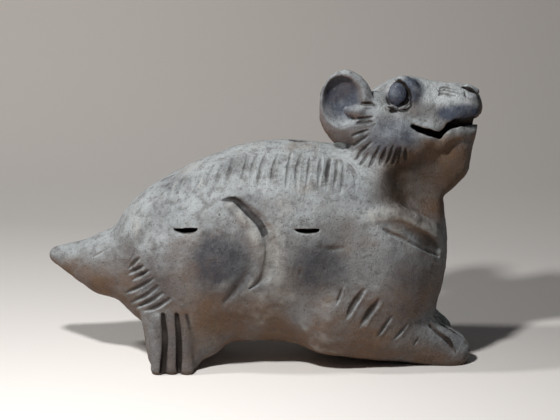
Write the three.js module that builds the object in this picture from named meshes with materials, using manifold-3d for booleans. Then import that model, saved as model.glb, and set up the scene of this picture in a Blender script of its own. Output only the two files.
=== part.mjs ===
// A rat modelled in fired clay, about 160 mm from tail tip to nose: one hand-built, flat-footed
// pottery figure with its head lifted.  Millimetres, +Z up, +X towards the nose, +Y the rat's left.
// The origin is the middle of the figure's box, on the ground it stands on.
//
// The body is one closed skin round a blend of swellings (ribs, haunch, chest, neck, head, tail,
// thighs, legs), given as a signed distance in millimetres.  The skin is drawn through that
// blend on a regular grid, thinned to the faces that its curvature needs, and then cut: flat
// underfoot, and through with the vent slits.
import * as THREE from "three";
import { mergeVertices } from "three/addons/utils/BufferGeometryUtils.js";
import Module from "manifold-3d";

// ------------------------------------------------------------------ driving dimensions (mm)
const RIB = { at: [7.9, 0, 44.4], r: [50.8, 29.5, 38.0] };       // rib cage and back
const HAUNCH = { at: [-23.5, 0, 37.6], r: [34.4, 27.0, 31.8] };
const CHEST = { at: [43.1, 0, 42.5], r: [24.7, 25.5, 41.8] };
const BELLY = { at: [0, 0, 33.8], r: [33.9, 22.0, 20.3] };
const NECK = { from: [38, 0, 56], to: [49.0, 0, 67.2], r: [22, 13.5] };
const TAIL = { from: [-78.4, 8.5, 36.8], to: [-59.1, 2.5, 34.7], r: [3.2, 11.5] };   // thick blunt cone, bent to the left
const THIGH = { at: [-22, -18, 39], r: [21.5, 13.5, 23] };
const FOOT = { at: [-32.9, -19.0, 11.9], r: [10.0, 8.0, 17.8] };
const HEEL = { from: [-38, -17, 26], to: [-37, -20, 6], r: [8, 5] };
const TOES = { x: [-38.9, -34.0, -28.6], r: [2.7, 2.4, 2.7], y: -25.2, top: 21, end: 2.0 };
const WEB = { at: [-22.5, -15, 16.0], r: [9, 6, 12] };           // clay between foot and belly
const SHOULDER = { at: [43, -14, 36], r: [17, 14.5, 24] };
const ELBOW = { from: [25.6, -11, 21.4], to: [63.7, -9.5, 6.8], r: [17.9, 7.3] };
const PAW_NEAR = { from: [57.7, -9.5, 7.8], to: [68.7, -9.0, 4.1], r: [7.3, 7.5] };
const PAW_FAR = { from: [55.7, 8.5, 7.0], to: [62.7, 7.5, 3.0], r: [7.0, 5.2] };

const HEAD_AT = [57, 0, 81];                  // middle of the head; its own frame is turned
const HEAD_YAW = -7, HEAD_ROLL = -7;          // degrees: nose to the right side, crown leaning left
const SKULL = { at: [-0.2, 0, -4.1], r: [18.5, 18.0, 16.8] };
const CROWN = { from: [-6.1, 0, 13.1], to: [4.5, 0, 11.4], r: [11.6, 11.4] };
const NAPE = { at: [-15.9, 0, 4.6], r: [12.9, 15.0, 14.3] };
const CHEEK = { at: [-12, -8, 3], r: [13, 11.5, 11.5] };
const SNOUT = { at: [14.5, 0, 14.1], r: [8.1, 9.0, 7.9] };
const PAD = { at: [12, -5, 12], r: [9.0, 6.2, 5.6] };            // whisker pad
const JAW = { at: [9.5, 0, 6.7], r: [11.5, 10.0, 10.0] };
const BROW = { at: [-3.5, -6.5, 17.4], r: [8.0, 6.5, 6.95] };
const BRIDGE = { from: [-1, -5, 14.5], to: [11, -3.8, 14.5], r: [8.4, 6.6] };
const TEMPLE = { at: [-15.5, -10.5, 10.0], r: [8.0, 7.3, 9.0] };
const JAW_SLANT = { at: [-3, -16.5, -6], to: [.60, -.66, -.45] };      // the jaw's slanted underside: a point on it and the way it faces
const KEEL = [[13.4, 0, 3.5, 6.6], [10.5, 0, -7.0, 7.3], [7.2, 0, -12.2, 6.6]];   // the throat between the two slants
const NECK_HOLLOW = { at: [58, -27, 67], r: [18, 19, 11], dip: 43 };   // under the cheek, its long axis running down to the chest
const EYE = { at: [-7.3, -12.7, 18.1], r: [3.75, 3.8, 4.7], socket: [4.7, 3.4, 5.6] };
const EAR = { at: [-26.3, -14.8, 13.2], r: [10.2, 4.4, 13.4], yaw: -2, roll: 6 };

const SLIT = { length: 9.0, height: 1.7, depth: 7 };             // vent slits in the flanks
const SLIT_AT = [[-28.3, 54.4, 3.4], [15.2, 54.4, -1.1]];        // x, z of the flat top edge, tilt
const TOP_SLIT = { x: 13, y: -1.2, length: 8.4, width: 4.2, depth: 7 };

const CELL = 1.0;                             // spacing of the grid that the skin is drawn on
const FACES = 9300;                           // faces left after thinning
const SHIFT = [0.951, -0.016, 0];             // from the modelling frame to the origin

// ------------------------------------------------------------------ distance functions
const rad = (d) => d * Math.PI / 180;
function ell(p, c, r) {
  const x = p[0] - c[0], y = p[1] - c[1], z = p[2] - c[2];
  const ax = x / r[0], ay = y / r[1], az = z / r[2];
  const k0 = Math.hypot(ax, ay, az), k1 = Math.hypot(ax / r[0], ay / r[1], az / r[2]) + 1e-9;
  return k0 * (k0 - 1) / k1;
}
function limb(p, a, b, ra, rb) {              // ball-ended tapered limb
  const bx = b[0] - a[0], by = b[1] - a[1], bz = b[2] - a[2];
  const l2 = bx * bx + by * by + bz * bz, rr = ra - rb, a2 = l2 - rr * rr, il2 = 1 / l2;
  const px = p[0] - a[0], py = p[1] - a[1], pz = p[2] - a[2];
  const y = px * bx + py * by + pz * bz, z = y - l2;
  const wx = px * l2 - bx * y, wy = py * l2 - by * y, wz = pz * l2 - bz * y;
  const x2 = wx * wx + wy * wy + wz * wz, y2 = y * y * l2, z2 = z * z * l2;
  const k = Math.sign(rr) * rr * rr * x2;
  if (Math.sign(z) * a2 * z2 > k) return Math.sqrt(x2 + z2) * il2 - rb;
  if (Math.sign(y) * a2 * y2 < k) return Math.sqrt(x2 + y2) * il2 - ra;
  return (Math.sqrt(x2 * a2 * il2) + y * rr) * il2 - ra;
}
const ellOf = (p, o) => ell(p, o.at, o.r);
const limbOf = (p, o) => limb(p, o.from, o.to, o.r[0], o.r[1]);
function smin(a, b, k) { const h = Math.max(k - Math.abs(a - b), 0) / k; return Math.min(a, b) - h * h * h * k / 6; }
const smax = (a, b, k) => -smin(-a, -b, k);
function chain(p, pts, k = 0) {               // limbs end to end; each point is [x, y, z, radius]
  let d = 1e9;
  for (let i = 0; i + 1 < pts.length; i++) {
    const c = limb(p, pts[i], pts[i + 1], pts[i][3], pts[i + 1][3]);
    d = k && i ? smin(d, c, k) : Math.min(d, c);
  }
  return d;
}
function curve(pts, n) {                      // smooth curve through points, n steps between each two
  const q = [pts[0].map((v, k) => 2 * v - pts[1][k]), ...pts, pts[pts.length - 1].map((v, k) => 2 * v - pts[pts.length - 2][k])];
  const out = [];
  for (let i = 1; i + 2 < q.length; i++) for (let j = 0; j < n; j++) {
    const t = j / n;
    out.push(q[i].map((v, k) => .5 * (2 * v + (q[i + 1][k] - q[i - 1][k]) * t
      + (2 * q[i - 1][k] - 5 * v + 4 * q[i + 1][k] - q[i + 2][k]) * t * t
      + (3 * v - q[i - 1][k] - 3 * q[i + 1][k] + q[i + 2][k]) * t * t * t)));
  }
  out.push(pts[pts.length - 1]);
  return out;
}
const step01 = (x, a, b) => { const t = Math.min(Math.max((x - a) / (b - a), 0), 1); return t * t * (3 - 2 * t); };
const turn = (yaw, roll) => new THREE.Matrix4().makeRotationZ(rad(yaw)).multiply(new THREE.Matrix4().makeRotationX(rad(roll)));
function inTurned(p, c, m) {                  // a point in the frame of a turned part
  const e = m.elements, x = p[0] - c[0], y = p[1] - c[1], z = p[2] - c[2];
  return [e[0] * x + e[1] * y + e[2] * z, e[4] * x + e[5] * y + e[6] * z, e[8] * x + e[9] * y + e[10] * z];
}

// ------------------------------------------------------------------ carved lines
// The gouge round the thigh, the softer one inside it, and the fold over the shoulder: x, y, z on
// the right flank (the left flank mirrors it), then the radius of the tool there.
const CRESCENT = [[-15.2, -22.6, 64.3], [-11, -22.9, 64.3], [-8.1, -24.5, 62.4], [-4.9, -26.2, 59.5], [-2.1, -27.3, 57],
  [.1, -28.4, 53], [1.5, -29.3, 46.6], [.5, -29.2, 40.2], [-1.3, -28.6, 35.6], [-5.4, -28.2, 32.8]];
const SLOPE_R = [.9, 1.6, 2, 2.3, 2.4, 2.6, 2.8, 2.8, 2.4, 1.2];
const EDGE_R = [.4, .8, .95, 1.05, 1.05, 1.05, 1, .9, .8, .4];
const moved = (pts, dx, dy, dz, r) => pts.map((p, i) => [p[0] + dx, p[1] + dy, p[2] + dz, Array.isArray(r) ? r[i] : r]);
const THIGH_EDGE = moved(CRESCENT.slice(2), -3.4, 2.8, -1, 2.2);
const GOUGE_SLOPE = curve(moved(CRESCENT, 1.1, -1.55, .3, SLOPE_R), 2);
const GOUGE_EDGE = curve(moved(CRESCENT, 0, 0, 0, EDGE_R), 2);
const GOUGE_SOFT = curve([[-4.9, -30.7, 44.7, 1.2], [-6.7, -30.5, 37.9, 1.9], [-9.6, -30.3, 33.1, 1.9], [-14.3, -29.6, 27.5, 1.1]], 2);
const FOLD_RIDGE = [[39.5, -23.4, 58.5, 2], [47.3, -22.2, 59, 2.6], [53.5, -20, 56.5, 2.6], [60.3, -15.5, 51, 2]];
const FOLD_SCOOP = [[43, -28.6, 56.6, 2.4], [50, -27.4, 55, 3.6], [57, -23.6, 50.6, 3.6], [64, -15.8, 44.6, 2.4]];
const FOLD_EDGE = [[42.7, -26.2, 54, .4], [45.4, -26.2, 52.5, .9], [52, -25, 49.5, 1.1], [58.3, -21.1, 45.7, 1], [63.5, -14.6, 41.6, .6]];
const TOE_GAPS = [
  [[-37, -26.9, 21.5, .6], [-36.6, -28.2, 14, .9], [-36.5, -28.4, 0, .9]],
  [[-32.3, -27.9, 21.5, .6], [-31.5, -28.4, 14, .9], [-31.4, -28.4, 0, .9]]];
const PAW_GAPS = [
  [[60.6, -16.2, 15.7, .7], [67.4, -15.2, 9.6, 1], [70.5, -14.8, 4, .9]],
  [[62.3, -11.3, 18.3, .7], [67.7, -10.8, 12.8, 1], [73.5, -10.8, 7.5, .9], [76, -10.5, 3, .7]],
  [[63.5, -7, 18.6, .7], [69.5, -6.4, 13.4, 1], [75.4, -6.2, 6, .9]]];
// On the head, in its own frame.
const UPPER_LID = [[-10.1, -11.5, 22.7, .4], [-9.1, -11.5, 23.4, .9], [-7.3, -11.8, 23.5, 1.3], [-4.9, -12.4, 22.7, 1.8],
  [-2.9, -12.7, 21.1, 2.1], [-1.8, -12.9, 19, 2], [-1.9, -13.3, 16.8, 1.2]];
const LOWER_LID = [[-3, -14.6, 17.4, .4], [-3.4, -14.7, 15, .7], [-5, -14.9, 13.6, .7], [-7, -15.3, 12.7, .7], [-9.1, -15.8, 13.9, .6]];
const LIP = [[8.2, -8.6, 7.2, 2.6], [12.5, -8, 11.2, 4.4], [18, -5.4, 13.2, 4.2]];
const LOW_LIP = [[-1.3, -15, 4.4, 1], [3.7, -13.7, 2.3, 1.5], [8, -10.3, .6, 1.9], [10.4, -9.1, 3.2, 2.2], [14.3, -6.8, 4.4, 2.2], [18.6, -3.4, 5.1, 2]];
const MOUTH = [[-1.9, 0, 6.6, .75], [.3, 0, 5.5, .85], [4.2, 0, 4.4, .95], [8, 0, 3.3, 1.1], [10.7, 0, 6.3, 1.4], [13.2, 0, 7.6, 1.75], [16.4, 0, 8.2, 1.9], [26, 0, 9.2, 1.8]];
const MOUTH_DEPTH = [4.5, 1.6];               // at the corners, at the front
const NOSTRIL = [[15.4, -4.7, 21, .5], [17.4, -3.4, 20.9, .8], [19.2, -2.3, 20, .9], [20.7, -1.6, 18.7, .8], [21.8, -1.7, 17.1, .5]];

// ------------------------------------------------------------------ the form
const HEAD_TURN = turn(HEAD_YAW, HEAD_ROLL), EAR_TURN = turn(EAR.yaw, EAR.roll);
function headPoint(p) {
  const q = inTurned(p, HEAD_AT, HEAD_TURN);
  const far = step01(q[1], 2, 12);            // the left half sits a little lower and farther back
  return [q[0] + far, -Math.abs(q[1]), q[2] + 3.2 * far];
}
const slant = new THREE.Vector3(...JAW_SLANT.to).normalize();
const HOLLOW_TURN = new THREE.Matrix4().makeRotationY(rad(NECK_HOLLOW.dip));
function trunk(p, m) {
  let f = ellOf(p, RIB);
  f = smin(f, ellOf(p, HAUNCH), 14);
  f = smin(f, ellOf(p, CHEST), 12);
  f = smin(f, ellOf(p, BELLY), 8);
  f = smin(f, limbOf(p, NECK), 10);
  f = smin(f, limbOf(p, TAIL), 12);
  f = smin(f, ellOf(m, THIGH), 5);
  f = smin(f, ellOf(m, FOOT), 9);
  f = smin(f, limbOf(m, HEEL), 6);
  for (let i = 0; i < 3; i++) {
    const x = TOES.x[i], r = TOES.r[i];
    f = smin(f, limb(m, [x * .9 - 3.4, TOES.y + 1.2, TOES.top], [x, TOES.y, TOES.end], r, r - .001), 1.2);
  }
  f = smin(f, ellOf(m, WEB), 9);
  f = smin(f, ellOf(m, SHOULDER), 8);
  f = smin(f, limbOf(m, ELBOW), 10);
  f = smin(f, limbOf(p, PAW_NEAR), 5);
  return smin(f, limbOf(p, PAW_FAR), 5);
}
function head(q) {
  let h = ellOf(q, SKULL);
  h = smin(h, limbOf(q, CROWN), 9);
  h = smin(h, ellOf(q, NAPE), 7);
  h = smin(h, ellOf(q, CHEEK), 6);
  h = smin(h, ellOf(q, SNOUT), 8);
  h = smin(h, ellOf(q, PAD), 3);
  h = smin(h, ellOf(q, JAW), 5);
  h = smin(h, ellOf(q, BROW), 5);
  h = smin(h, limbOf(q, BRIDGE), 4);
  h = smin(h, ellOf(q, TEMPLE), 4);
  const [ax, ay, az] = JAW_SLANT.at;
  h = smax(h, (q[0] - ax) * slant.x + (q[1] - ay) * slant.y + (q[2] - az) * slant.z, 6);
  for (let i = 0; i + 1 < KEEL.length; i++) h = smin(h, limb(q, KEEL[i], KEEL[i + 1], KEEL[i][3], KEEL[i + 1][3]), 4);
  return h;
}
function face(q, f) {
  const [ex, ey, ez] = EYE.at;
  f = smax(f, -ell(q, [ex, ey - 1.2, ez - .1], EYE.socket), .8);
  f = smin(f, chain(q, UPPER_LID, 1.5), 2.2);
  f = Math.min(f, ellOf(q, EYE));
  f = smin(f, chain(q, LOWER_LID), .8);
  f = smax(f, -ell(q, [-8.6, -20.9, 8.6], [6, 3.8, 5]), 4);
  f = smin(f, chain(q, LIP, 2), 2.5);
  f = smin(f, chain(q, LOW_LIP, 1), 2.5);
  const mouth = chain([q[0], 0, q[2]], MOUTH, .8);
  const depth = MOUTH_DEPTH[0] + (MOUTH_DEPTH[1] - MOUTH_DEPTH[0]) * step01(q[0], 10, 17);
  f = smax(f, -Math.max(mouth, -(f + depth)), .7);
  f = smin(f, ell(q, [18.3, -5.8, 17.9], [2.3, 2.2, 2.6]), 1.2);
  return smax(f, -chain(q, NOSTRIL), .4);
}
function ear(q) {                             // a pinched dish with a deeper bowl at its upper back
  const [x, y, z] = EAR.at, [a, b, c] = EAR.r;
  const t = inTurned(q, EAR.at, EAR_TURN);
  let e = ell(t, [0, 0, 0], [a, b, c]);
  e = smin(e, ell(q, [x + 7, y + 1, z - 6.5], [6.5, 5, 8]), 3);
  e = smax(e, -ell(inTurned(q, [x - 1.5, y - 4.6, z + 3], EAR_TURN), [0, 0, 0], [a - 2.8, 5.4, c - 4.4]), 1.6);
  e = smax(e, -ell(inTurned(q, [x - 1.6, y - 2.2, z + 4], EAR_TURN), [0, 0, 0], [a - 4.2, 4.6, c - 6]), 1);
  return smin(e, limb(q, [x + 1, y - 1.8, z - 1.2], [x + 4.8, y - 2, z - 1.6], 1.7, 2.7), 1.2);
}
function carve(m, f) {
  f = smin(f, chain(m, THIGH_EDGE, 1), 3);
  f = smax(f, -chain(m, GOUGE_SLOPE), 1);
  f = smax(f, -chain(m, GOUGE_EDGE), .5);
  f = smax(f, -chain(m, GOUGE_SOFT), 1.5);
  f = smin(f, chain(m, FOLD_RIDGE, 1), 4);
  f = smax(f, -chain(m, FOLD_SCOOP, 1), 2);
  f = smax(f, -chain(m, FOLD_EDGE), .6);
  for (const g of TOE_GAPS) f = smax(f, -chain(m, g), .6);
  for (const g of PAW_GAPS) f = smax(f, -chain(m, g), .6);
  return f;
}
function rat(p) {
  const m = [p[0], -Math.abs(p[1]), p[2]], q = headPoint(p);
  let f = smin(trunk(p, m), head(q), 5);
  f = smax(f, -ell(inTurned(m, NECK_HOLLOW.at, HOLLOW_TURN), [0, 0, 0], NECK_HOLLOW.r), 6);
  if (p[0] > 20 && p[2] > 60) f = face(q, f);
  f = carve(m, f);
  if (p[0] > 5 && p[2] > 60) f = smin(f, ear(q), 2);
  return f;
}

// ------------------------------------------------------------------ a skin round the form
function skin(field, lo, hi, cell) {
  const n = lo.map((v, k) => Math.ceil((hi[k] - v) / cell) + 1);
  const at = (i, j, k) => (k * n[1] + j) * n[0] + i;
  const val = new Float32Array(n[0] * n[1] * n[2]).fill(1e3);
  const B = 4;                                // blocks far from the skin are filled in one go
  for (let k = 0; k < n[2]; k += B) for (let j = 0; j < n[1]; j += B) for (let i = 0; i < n[0]; i += B) {
    const c = field([lo[0] + (i + B / 2) * cell, lo[1] + (j + B / 2) * cell, lo[2] + (k + B / 2) * cell]);
    const near = Math.abs(c) < 9;
    for (let w = k; w < Math.min(k + B, n[2]); w++) for (let v = j; v < Math.min(j + B, n[1]); v++)
      for (let u = i; u < Math.min(i + B, n[0]); u++)
        val[at(u, v, w)] = near ? field([lo[0] + u * cell, lo[1] + v * cell, lo[2] + w * cell]) : c;
  }
  // Where two sheets would touch along one edge or point, the weakest inner corner is given up.
  const corner = (i, j, k, c) => at(i + (c & 1), j + ((c >> 1) & 1), k + (c >> 2));
  const faces4 = [[0, 1, 3, 2], [4, 5, 7, 6], [0, 1, 5, 4], [2, 3, 7, 6], [0, 2, 6, 4], [1, 3, 7, 5]];
  const parts = (mask) => {                   // separate groups among the corners of a mask
    let groups = 0, left = mask;
    while (left) {
      let g = left & -left, grow = g;
      do { g = grow; for (let c = 0; c < 8; c++) if (g >> c & 1) for (const b of [1, 2, 4]) grow |= (1 << (c ^ b)) & mask; } while (grow !== g);
      left &= ~g; groups++;
    }
    return groups;
  };
  const groupsOf = Array.from({ length: 256 }, (_, m) => parts(m));
  for (let again = true; again;) {
    again = false;
    for (let k = 0; k + 1 < n[2]; k++) for (let j = 0; j + 1 < n[1]; j++) for (let i = 0; i + 1 < n[0]; i++) {
      let mask = 0;
      for (let c = 0; c < 8; c++) if (val[corner(i, j, k, c)] < 0) mask |= 1 << c;
      if (mask === 0 || mask === 255) continue;
      let set = null;
      for (const q of faces4) {
        const b = q.map((c) => mask >> c & 1);
        if (b[0] === b[2] && b[1] === b[3] && b[0] !== b[1]) { set = q; break; }
      }
      if (!set && (groupsOf[mask] > 1 || groupsOf[255 ^ mask] > 1)) set = [0, 1, 2, 3, 4, 5, 6, 7];
      if (!set) continue;
      let w = -1;
      for (const c of set) { const v = corner(i, j, k, c); if (val[v] < 0 && (w < 0 || val[v] > val[w])) w = v; }
      val[w] = .02;
      again = true;
    }
  }
  const id = new Int32Array(n[0] * n[1] * n[2]).fill(-1), pos = [];
  for (let k = 0; k + 1 < n[2]; k++) for (let j = 0; j + 1 < n[1]; j++) for (let i = 0; i + 1 < n[0]; i++) {
    let sx = 0, sy = 0, sz = 0, cnt = 0;
    for (let e = 0; e < 12; e++) {            // crossings on the 12 edges of the cell
      const ax = e >> 2, u = e & 1, v = (e >> 1) & 1;
      const a = [i, j, k], b = [(ax + 1) % 3, (ax + 2) % 3];
      a[b[0]] += u; a[b[1]] += v;
      const c = a.slice(); c[ax] += 1;
      const fa = val[at(...a)], fb = val[at(...c)];
      if ((fa < 0) === (fb < 0)) continue;
      const t = fa / (fa - fb), p = a.slice(); p[ax] += t;
      sx += p[0]; sy += p[1]; sz += p[2]; cnt++;
    }
    if (!cnt) continue;
    id[at(i, j, k)] = pos.length / 3;
    const p = [lo[0] + sx / cnt * cell, lo[1] + sy / cnt * cell, lo[2] + sz / cnt * cell];
    const h = .05, f0 = field(p);
    const g = [0, 1, 2].map((a) => { const w = p.slice(); w[a] += h; return (field(w) - f0) / h; });
    const g2 = g[0] * g[0] + g[1] * g[1] + g[2] * g[2], s = Math.max(-.5 * cell, Math.min(.5 * cell, f0)) / Math.max(g2, .25);
    pos.push(p[0] - g[0] * s, p[1] - g[1] * s, p[2] - g[2] * s);
  }
  const tri = [];
  for (let k = 1; k + 1 < n[2]; k++) for (let j = 1; j + 1 < n[1]; j++) for (let i = 1; i + 1 < n[0]; i++) {
    const a = [i, j, k];
    for (let ax = 0; ax < 3; ax++) {
      const c = a.slice(); c[ax] += 1;
      const inA = val[at(...a)] < 0, inB = val[at(...c)] < 0;
      if (inA === inB) continue;
      const b1 = (ax + 1) % 3, b2 = (ax + 2) % 3, q = [];
      for (const [u, v] of [[0, 0], [1, 0], [1, 1], [0, 1]]) {
        const d = a.slice(); d[b1] -= 1 - u; d[b2] -= 1 - v;
        q.push(id[at(...d)]);
      }
      if (inA) tri.push(q[0], q[1], q[2], q[0], q[2], q[3]);
      else tri.push(q[0], q[2], q[1], q[0], q[3], q[2]);
    }
  }
  return { pos, tri };
}

// Thins a closed skin by merging the edge that changes the shape least, again and again.
function thin({ pos, tri }, target) {
  const nv = pos.length / 3, nf = tri.length / 3;
  const Q = new Float64Array(nv * 10), live = new Uint8Array(nf).fill(1), stamp = new Int32Array(nv);
  const fan = Array.from({ length: nv }, () => []);
  const P = (v) => [pos[3 * v], pos[3 * v + 1], pos[3 * v + 2]];
  const cross = (a, b, c) => {
    const ux = b[0] - a[0], uy = b[1] - a[1], uz = b[2] - a[2], vx = c[0] - a[0], vy = c[1] - a[1], vz = c[2] - a[2];
    return [uy * vz - uz * vy, uz * vx - ux * vz, ux * vy - uy * vx];
  };
  for (let f = 0; f < nf; f++) {
    const [a, b, c] = [tri[3 * f], tri[3 * f + 1], tri[3 * f + 2]];
    const n = cross(P(a), P(b), P(c)), len = Math.hypot(...n) || 1e-12, w = len;
    const [x, y, z] = n.map((v) => v / len), d = -(x * pos[3 * a] + y * pos[3 * a + 1] + z * pos[3 * a + 2]);
    const q = [x * x, x * y, x * z, x * d, y * y, y * z, y * d, z * z, z * d, d * d];
    for (const v of [a, b, c]) { fan[v].push(f); for (let i = 0; i < 10; i++) Q[10 * v + i] += q[i] * w; }
  }
  const heap = [];
  const push = (e) => { let i = heap.length; heap.push(e); while (i) { const p = (i - 1) >> 1; if (heap[p].c <= e.c) break; heap[i] = heap[p]; i = p; } heap[i] = e; };
  const pop = () => {
    const top = heap[0], e = heap.pop(), n = heap.length;
    if (n) { let i = 0; for (;;) { let k = 2 * i + 1; if (k >= n) break; if (k + 1 < n && heap[k + 1].c < heap[k].c) k++; if (heap[k].c >= e.c) break; heap[i] = heap[k]; i = k; } heap[i] = e; }
    return top;
  };
  const near = (v) => { const s = new Set(); for (const f of fan[v]) for (let i = 0; i < 3; i++) if (tri[3 * f + i] !== v) s.add(tri[3 * f + i]); return s; };
  function price(a, b) {
    const q = new Float64Array(10);
    for (let i = 0; i < 10; i++) q[i] = Q[10 * a + i] + Q[10 * b + i];
    const cost = (x, y, z) => q[0] * x * x + 2 * q[1] * x * y + 2 * q[2] * x * z + 2 * q[3] * x + q[4] * y * y + 2 * q[5] * y * z + 2 * q[6] * y + q[7] * z * z + 2 * q[8] * z + q[9];
    const A = P(a), B = P(b), M = A.map((v, i) => (v + B[i]) / 2);
    let best = M, c = cost(...M);
    for (const t of [A, B]) { const v = cost(...t); if (v < c) { c = v; best = t; } }
    const det = q[0] * (q[4] * q[7] - q[5] * q[5]) - q[1] * (q[1] * q[7] - q[5] * q[2]) + q[2] * (q[1] * q[5] - q[4] * q[2]);
    const tr = q[0] + q[4] + q[7];
    if (Math.abs(det) > 1e-4 * tr * tr * tr) {
      const r = [-q[3], -q[6], -q[8]];
      const x = (r[0] * (q[4] * q[7] - q[5] * q[5]) - q[1] * (r[1] * q[7] - q[5] * r[2]) + q[2] * (r[1] * q[5] - q[4] * r[2])) / det;
      const y = (q[0] * (r[1] * q[7] - q[5] * r[2]) - r[0] * (q[1] * q[7] - q[5] * q[2]) + q[2] * (q[1] * r[2] - r[1] * q[2])) / det;
      const z = (q[0] * (q[4] * r[2] - r[1] * q[5]) - q[1] * (q[1] * r[2] - r[1] * q[2]) + r[0] * (q[1] * q[5] - q[4] * q[2])) / det;
      const v = cost(x, y, z), L = Math.hypot(A[0] - B[0], A[1] - B[1], A[2] - B[2]);
      if (v < c && Math.hypot(x - M[0], y - M[1], z - M[2]) < 1.5 * L) { c = v; best = [x, y, z]; }
    }
    const L2 = (A[0] - B[0]) ** 2 + (A[1] - B[1]) ** 2 + (A[2] - B[2]) ** 2;
    push({ c: c + 1e-5 * L2, a, b, p: best, sa: stamp[a], sb: stamp[b] });
  }
  for (let v = 0; v < nv; v++) for (const u of near(v)) if (u > v) price(v, u);
  let faces = nf;
  while (faces > target && heap.length) {
    const e = pop();
    if (stamp[e.a] !== e.sa || stamp[e.b] !== e.sb) continue;
    const na = near(e.a), nb = near(e.b);
    let shared = 0; for (const v of na) if (nb.has(v)) shared++;
    if (shared !== 2) continue;
    let ok = true;                            // no face may fold over or become a sliver
    for (const v of [e.a, e.b]) for (const f of fan[v]) {
      const t = [tri[3 * f], tri[3 * f + 1], tri[3 * f + 2]];
      if (t.includes(e.a) && t.includes(e.b)) continue;
      const before = cross(...t.map(P)), after = cross(...t.map((w) => (w === v ? e.p : P(w))));
      const lb = Math.hypot(...before), la = Math.hypot(...after);
      const w = t.map((x) => (x === v ? e.p : P(x)));
      const long = Math.max(...[0, 1, 2].map((i) => Math.hypot(w[i][0] - w[(i + 1) % 3][0], w[i][1] - w[(i + 1) % 3][1], w[i][2] - w[(i + 1) % 3][2])));
      if (la < .03 * long * long || before[0] * after[0] + before[1] * after[1] + before[2] * after[2] < .35 * lb * la) { ok = false; break; }
    }
    if (!ok) continue;
    for (let i = 0; i < 3; i++) pos[3 * e.a + i] = e.p[i];
    for (let i = 0; i < 10; i++) Q[10 * e.a + i] += Q[10 * e.b + i];
    for (const f of fan[e.b]) {
      if (!live[f]) continue;
      const t = [tri[3 * f], tri[3 * f + 1], tri[3 * f + 2]];
      if (t.includes(e.a)) { live[f] = 0; faces--; } else {
        for (let i = 0; i < 3; i++) if (t[i] === e.b) tri[3 * f + i] = e.a;
        fan[e.a].push(f);
      }
    }
    fan[e.b] = [];
    for (const v of new Set([e.a, ...na, ...nb])) fan[v] = fan[v].filter((f) => live[f]);
    stamp[e.a]++; stamp[e.b] = -1;
    for (const u of near(e.a)) price(Math.min(e.a, u), Math.max(e.a, u));
  }
  const used = new Map(), outPos = [], outTri = [];
  for (let f = 0; f < nf; f++) if (live[f]) for (let i = 0; i < 3; i++) {
    const v = tri[3 * f + i];
    if (!used.has(v)) { used.set(v, outPos.length / 3); outPos.push(...P(v)); }
    outTri.push(used.get(v));
  }
  return { pos: outPos, tri: outTri };
}

// Keeps the outer skin only: tiny pockets left between two swellings are filled.
function outer({ pos, tri }) {
  const up = Int32Array.from({ length: pos.length / 3 }, (_, i) => i);
  const root = (v) => { while (up[v] !== v) v = up[v] = up[up[v]]; return v; };
  for (let i = 0; i < tri.length; i += 3) { up[root(tri[i])] = root(tri[i + 1]); up[root(tri[i + 1])] = root(tri[i + 2]); }
  const size = new Map();
  for (const v of tri) size.set(root(v), (size.get(root(v)) || 0) + 1);
  const best = [...size].reduce((a, b) => (b[1] > a[1] ? b : a))[0];
  const used = new Map(), outPos = [], outTri = [];
  for (let i = 0; i < tri.length; i += 3) {
    if (root(tri[i]) !== best) continue;
    for (let k = 0; k < 3; k++) {
      const v = tri[i + k];
      if (!used.has(v)) { used.set(v, outPos.length / 3); outPos.push(pos[3 * v], pos[3 * v + 1], pos[3 * v + 2]); }
      outTri.push(used.get(v));
    }
  }
  return { pos: outPos, tri: outTri };
}

// ------------------------------------------------------------------ cutting
const wasm = await Module();
wasm.setup();
function solidOf(pos, tri) {
  return new wasm.Manifold(new wasm.Mesh({ numProp: 3, vertProperties: new Float32Array(pos), triVerts: new Uint32Array(tri) }));
}
function solidOfGeometry(geometry) {
  const g = geometry.index ? geometry : geometry.clone();
  g.deleteAttribute("normal"); g.deleteAttribute("uv");
  const m = mergeVertices(g, 1e-4);
  return solidOf(m.attributes.position.array, m.index.array);
}
function geometryOf(solid) {
  const mesh = solid.getMesh(), g = new THREE.BufferGeometry(), n = mesh.numProp, v = mesh.vertProperties, p = [];
  for (let i = 0; i < v.length; i += n) p.push(v[i], v[i + 1], v[i + 2]);
  const shell = outer({ pos: p, tri: Array.from(mesh.triVerts) });
  g.setAttribute("position", new THREE.Float32BufferAttribute(shell.pos, 3));
  g.setIndex(shell.tri);
  g.computeVertexNormals();
  return g;
}
function flankY(x, z, side) {                 // where the flank is at this x and z
  let y = -34;
  for (let i = 0; i < 60; i++) y += Math.max(rat([x, side * -y, z]), .01) * .8;
  return side * -y;
}
function slitCutter(x, z, tilt, side) {       // flat above, bowed below
  const s = new THREE.Shape();
  s.moveTo(-SLIT.length / 2, 0);
  s.quadraticCurveTo(-SLIT.length / 4, -SLIT.height * 1.15, 0, -SLIT.height);
  s.quadraticCurveTo(SLIT.length / 4, -SLIT.height * 1.15, SLIT.length / 2, 0);
  s.closePath();
  const y = flankY(x, z, side);
  const g = new THREE.ExtrudeGeometry(s, { depth: SLIT.depth + 4, bevelEnabled: false, curveSegments: 4 });
  g.translate(0, 0, -4);
  g.rotateZ(rad(-side * tilt));
  g.rotateX(Math.PI / 2);                     // the outline stands up, the blade points to -Y
  if (side < 0) g.rotateZ(Math.PI);           // ... or, on the right flank, to +Y
  g.translate(x, y, z);
  return solidOfGeometry(g);
}
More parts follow.
